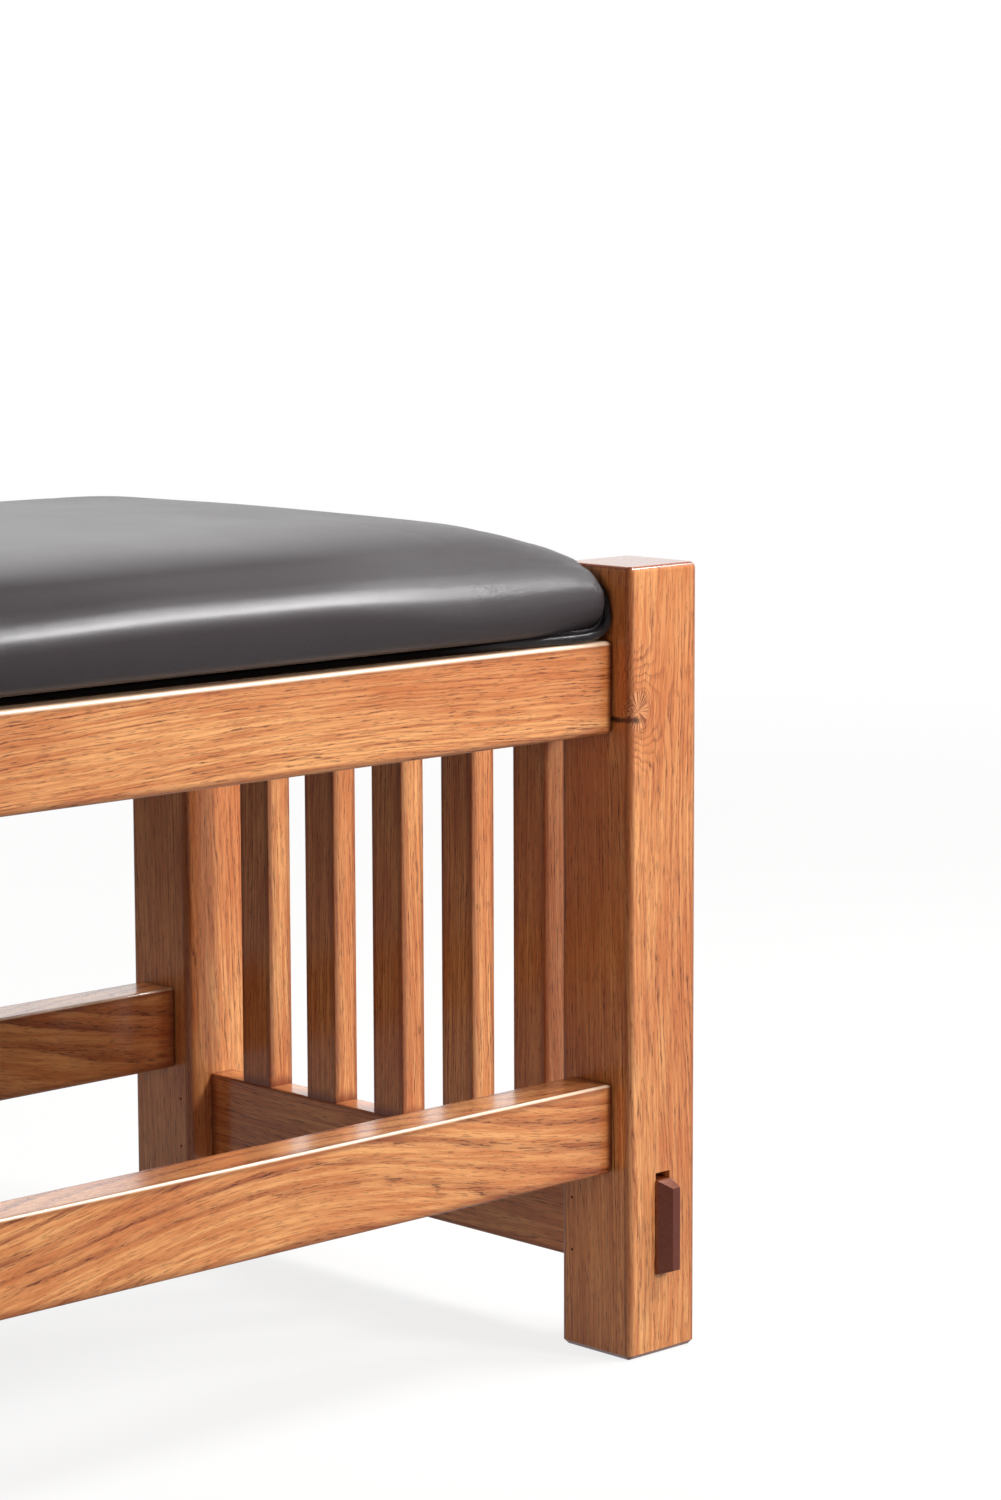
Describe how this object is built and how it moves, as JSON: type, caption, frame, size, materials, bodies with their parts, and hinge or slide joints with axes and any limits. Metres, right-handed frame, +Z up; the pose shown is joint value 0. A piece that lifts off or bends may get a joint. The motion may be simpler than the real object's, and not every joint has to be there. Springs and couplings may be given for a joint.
{
  "type": "mission bench",
  "caption": "Backless mission-style oak bench with slatted ends, low stretchers, through-tenoned end rails and a crowned leather seat notched round square posts.",
  "frame": {"origin": "on the floor at the middle of the bench", "axes": "+X along the bench to the right as seen from the front, +Y to the back, +Z up"},
  "size_m": [1.219, 0.444, 0.461],
  "materials": {
    "oak": "lacquered honey oak",
    "plain_hardwood": "unfinished",
    "plywood": "unfinished",
    "foam": "open foam",
    "leather": "smooth black leather",
    "cloth": "thin woven cloth",
    "steel": "zinc plated"
  },
  "bodies": {
    "root": {"back_left_corner_block": "plain_hardwood", "back_left_post": "oak", "back_right_corner_block": "plain_hardwood", "back_right_post": "oak", "back_seat_rail": "oak", "back_stretcher": "oak", "back_welt": "leather", "block_screws": "steel", "center_bearer": "plain_hardwood", "dust_cover": "cloth", "foam_core": "foam", "front_left_corner_block": "plain_hardwood", "front_left_post": "oak", "front_right_corner_block": "plain_hardwood", "front_right_post": "oak", "front_seat_rail": "oak", "front_stretcher": "oak", "front_welt": "leather", "leather_cover": "leather", "left_lower_end_rail": "oak", "left_slat_1": "oak", "left_slat_2": "oak", "left_slat_3": "oak", "left_slat_4": "oak", "left_slat_5": "oak", "left_upper_end_rail": "oak", "left_welt": "leather", "right_lower_end_rail": "oak", "right_slat_1": "oak", "right_slat_2": "oak", "right_slat_3": "oak", "right_slat_4": "oak", "right_slat_5": "oak", "right_upper_end_rail": "oak", "right_welt": "leather", "seat_board": "plywood", "seat_screws": "steel", "tenon_brads": "steel"}
  },
  "joints": []
}
